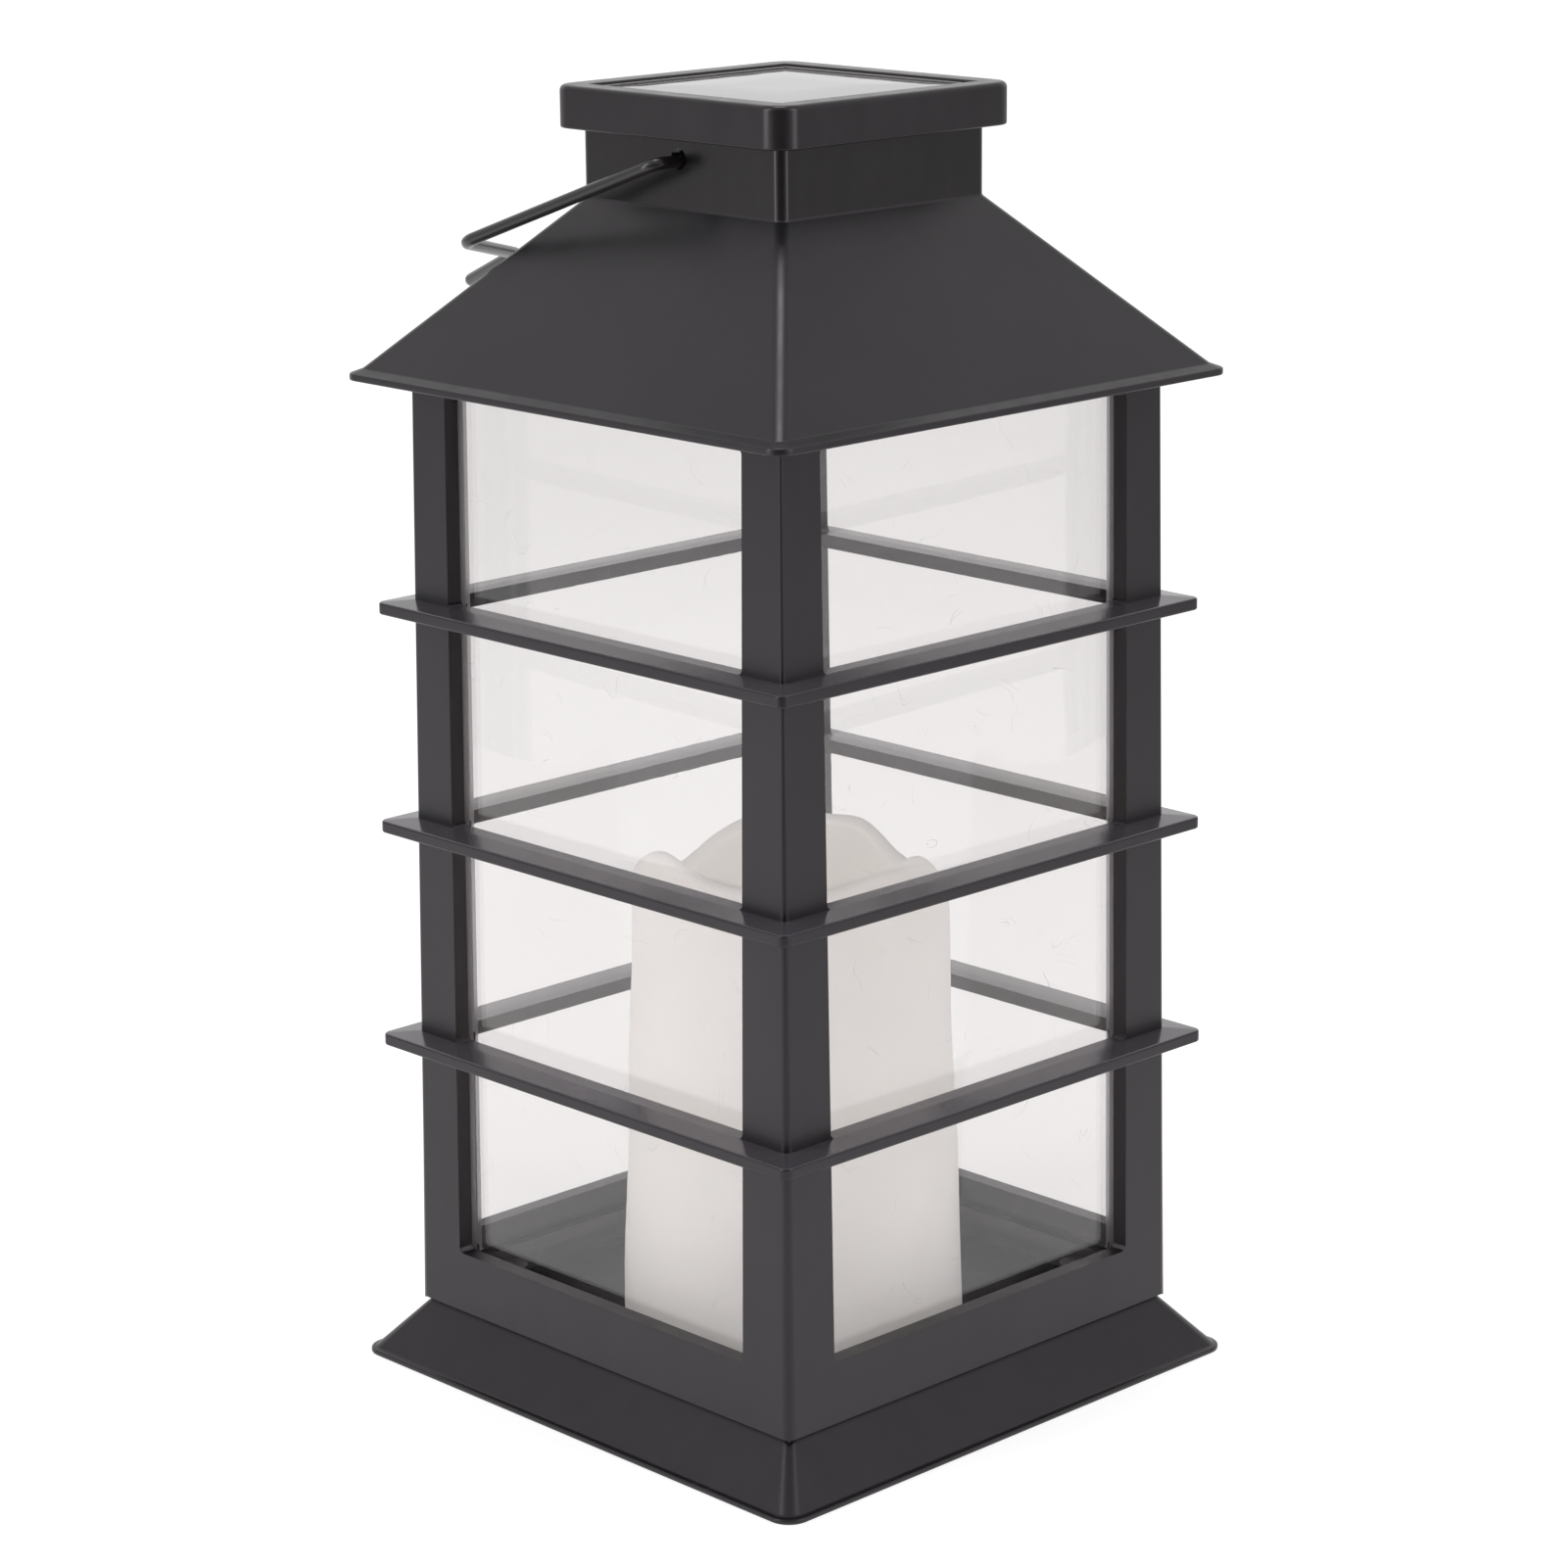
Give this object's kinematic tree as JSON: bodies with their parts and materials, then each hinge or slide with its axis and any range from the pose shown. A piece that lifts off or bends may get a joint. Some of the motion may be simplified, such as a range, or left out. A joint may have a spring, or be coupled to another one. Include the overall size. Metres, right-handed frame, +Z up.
{
  "type": "solar candle lantern",
  "caption": "Square hanging lantern with a hipped roof, glazed sides crossed by rings, an LED candle, a solar cap and a swinging wire handle.",
  "frame": {"origin": "middle of the underside, on the surface that the lantern stands on", "axes": "+Z up; the handle's pivot runs along Y and the handle lies towards -X; the cell's box is on the -Y side of the underside"},
  "size_m": [0.1673, 0.1362, 0.28],
  "materials": {
    "shell_plastic": "satin black moulded plastic",
    "clear_pane": "clear moulded sheet",
    "candle_shell": "frosted warm white plastic",
    "handle_wire": "gloss black coated steel wire",
    "clear_resin": "clear cast resin",
    "solar_cell": "dark blue-grey solar cell",
    "seal_rubber": "black rubber",
    "plated_steel": "zinc-plated steel",
    "circuit_board": "green solder mask",
    "components": "moulded components",
    "wire_sleeve": "soft insulation",
    "cell_sleeve": "shrink sleeve",
    "white_plastic": "white moulded plastic",
    "led_lens": "clear lens"
  },
  "bodies": {
    "lantern": {"base": "shell_plastic", "bottom_cover": "shell_plastic", "battery_cell": "cell_sleeve", "contact_plate": "plated_steel", "contact_spring": "plated_steel", "battery_leads": "wire_sleeve", "circuit_board": "circuit_board", "board_components": "components", "board_screws": "plated_steel", "switch_body": "plated_steel", "led_stalk": "white_plastic", "led": "led_lens", "led_leads": "wire_sleeve", "candle": "candle_shell", "body_frame": "shell_plastic", "pane_front": "clear_pane", "pane_back": "clear_pane", "pane_left": "clear_pane", "pane_right": "clear_pane", "roof": "shell_plastic", "cap": "shell_plastic", "solar_board": "circuit_board", "solar_cells": "solar_cell", "panel_resin": "clear_resin", "panel_gasket": "seal_rubber", "solar_lead": "wire_sleeve", "base_screws": "plated_steel", "roof_screws": "plated_steel", "cap_screws": "plated_steel"},
    "handle": {"handle": "handle_wire"},
    "battery_door": {"battery_door": "shell_plastic"},
    "switch_knob": {"switch_knob": "components"}
  },
  "joints": [
    {"name": "handle_swing", "type": "hinge", "parent": "lantern", "child": "handle", "pos_m": [0, 0, 0.2663], "axis": [0, 1, 0], "range_deg": [-5, 225]},
    {"name": "battery_door_hinge", "type": "hinge", "parent": "lantern", "child": "battery_door", "pos_m": [-0.02415, -0.012, 0.00095], "axis": [0, 1, 0], "range_deg": [0, 60]},
    {"name": "switch_slide", "type": "slide", "parent": "lantern", "child": "switch_knob", "axis": [1, 0, 0], "range_m": [0, 0.002]}
  ]
}
